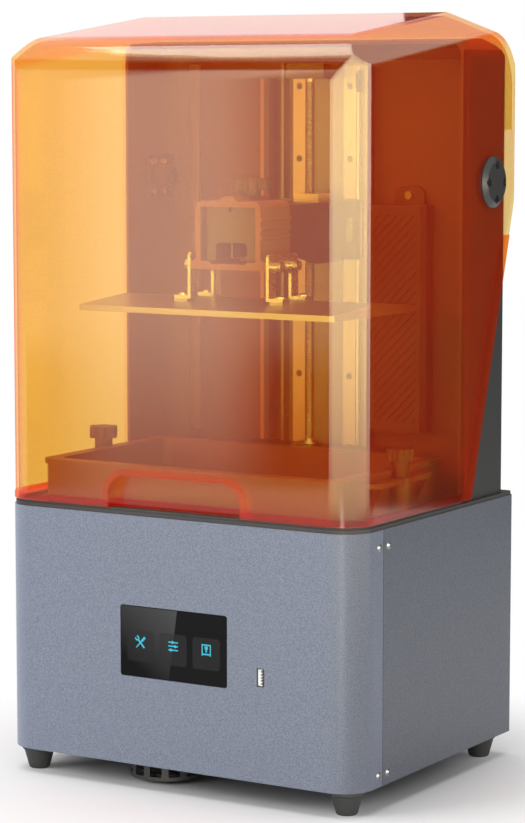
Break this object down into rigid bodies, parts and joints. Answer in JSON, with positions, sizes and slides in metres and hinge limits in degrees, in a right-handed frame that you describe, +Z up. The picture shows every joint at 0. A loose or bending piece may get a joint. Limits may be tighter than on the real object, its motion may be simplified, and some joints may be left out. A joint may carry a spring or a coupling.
{
  "type": "resin printer",
  "caption": "Desktop masked-display resin printer: metal base with touch screen, amber flip-up hood, twin-rail Z axis, hanging build plate and screw-down resin vat.",
  "frame": {"origin": "centre of the footprint on the floor, under the four feet", "axes": "+X to the right seen from the front, +Y to the back, +Z up; the touch screen faces -Y"},
  "size_m": [0.34, 0.2668, 0.6192],
  "materials": {
    "powder_coat": "fine metallic blue-grey powder coat",
    "powder_coat_side": "fine metallic dark blue-grey powder coat",
    "black_steel": "matt black paint",
    "black_rubber": "matt",
    "steel": "ground",
    "screen_glass": "black cover glass",
    "black_plastic": "moulded, fine texture",
    "circuit_board": "solder mask",
    "galvanised": "galvanised sheet",
    "led_board": "white solder mask",
    "black_aluminium": "black anodised",
    "bright_aluminium": "bead blasted, clear anodised",
    "clear_plastic": "clear lens plate",
    "lcd_glass": "dark display glass",
    "tower_plastic": "moulded, fine texture",
    "cover_plastic": "moulded, fine texture",
    "column_aluminium": "anodised",
    "dark_screws": "black oxide",
    "brass_screws": "plated screw heads",
    "filter_plastic": "moulded",
    "hub_metal": "satin",
    "amber_acrylic": "transparent orange, ultraviolet-blocking",
    "cap_plastic": "satin moulded",
    "brass": "turned",
    "knob_plastic": "satin moulded",
    "bracket_steel": "bent sheet",
    "plate_aluminium": "fine blasted",
    "vat_aluminium": "dark anodised",
    "clear_film": "thin release film"
  },
  "bodies": {
    "base": {"front_panel": "powder_coat", "side_rear_cover": "powder_coat_side", "base_pan": "black_steel", "deck_plate": "black_steel", "lid_seal": "black_rubber", "feet": "black_rubber", "foot_screws": "steel", "panel_screws": "steel", "touch_glass": "screen_glass", "display_module": "black_plastic", "data_port": "steel", "mainboard": "circuit_board", "power_supply": "galvanised", "led_array": "led_board", "heat_sink": "black_aluminium", "light_tunnel": "bright_aluminium", "collimator_lens": "clear_plastic", "lcd_panel": "lcd_glass", "fan_housing": "black_plastic", "bottom_fan_guard": "black_plastic", "power_inlet": "black_plastic", "switch_housing": "black_plastic", "tower_shell": "tower_plastic", "tower_rear_cover": "cover_plastic", "z_base_block": "black_aluminium", "z_column": "column_aluminium", "linear_rails": "steel", "rail_screws": "dark_screws", "z_motor": "black_steel", "top_bearing_block": "black_aluminium", "limit_switch": "black_plastic", "cable_duct": "tower_plastic", "air_filter_box": "filter_plastic", "filter_screw": "brass_screws", "hinge_hub_left": "hub_metal", "hinge_hub_right": "hub_metal", "hub_screws": "brass_screws", "vat_tray": "vat_aluminium", "film_frame": "bright_aluminium", "release_film": "clear_film"},
    "lid": {"hood_shell": "amber_acrylic", "hinge_cap_left": "cap_plastic", "hinge_cap_right": "cap_plastic", "cap_screws": "dark_screws"},
    "carriage": {"rail_blocks": "steel", "carriage_plate": "black_aluminium", "lead_nut": "brass", "z_arm": "black_aluminium", "clamp_sleeve": "bright_aluminium", "bracket_left": "bracket_steel", "bracket_right": "bracket_steel", "bracket_screws": "steel", "build_plate": "plate_aluminium"},
    "screw": {"lead_screw": "steel", "shaft_coupler": "bright_aluminium"},
    "arm_knob": {"clamp_knob": "knob_plastic"},
    "vat_screw_left": {"thumb_screw_left": "knob_plastic"},
    "vat_screw_right": {"thumb_screw_right": "knob_plastic"},
    "fan": {"fan_rotor": "black_plastic"},
    "rocker": {"rocker_switch": "black_plastic"}
  },
  "joints": [
    {"name": "lid_hinge", "type": "hinge", "parent": "base", "child": "lid", "pos_m": [0, 0.09, 0.483], "axis": [-1, 0, 0], "range_deg": [0, 90]},
    {"name": "z_slide", "type": "slide", "parent": "base", "child": "carriage", "axis": [0, 0, 1], "range_m": [-0.148, 0.08]},
    {"name": "screw_turn", "type": "hinge", "parent": "base", "child": "screw", "pos_m": [0, 0.079, 0.4], "axis": [0, 0, 1], "range_deg": [-7201, 13321]},
    {"name": "arm_knob_turn", "type": "hinge", "parent": "carriage", "child": "arm_knob", "pos_m": [0, -0.02, 0.48], "axis": [0, 0, 1], "continuous": true},
    {"name": "vat_screw_left_turn", "type": "hinge", "parent": "base", "child": "vat_screw_left", "pos_m": [-0.1426, -0.022, 0.25], "axis": [0, 0, 1], "continuous": true},
    {"name": "vat_screw_right_turn", "type": "hinge", "parent": "base", "child": "vat_screw_right", "pos_m": [0.1426, -0.022, 0.25], "axis": [0, 0, 1], "continuous": true},
    {"name": "fan_spin", "type": "hinge", "parent": "base", "child": "fan", "pos_m": [-0.038, -0.085, 0.03], "axis": [0, 0, 1], "continuous": true},
    {"name": "power_rocker", "type": "hinge", "parent": "base", "child": "rocker", "pos_m": [-0.072, 0.1264, 0.062], "axis": [1, 0, 0], "range_deg": [0, 14]}
  ],
  "couplings": [
    {"joint": "screw_turn", "follows": "z_slide", "rad_per_m": -1570.8}
  ]
}
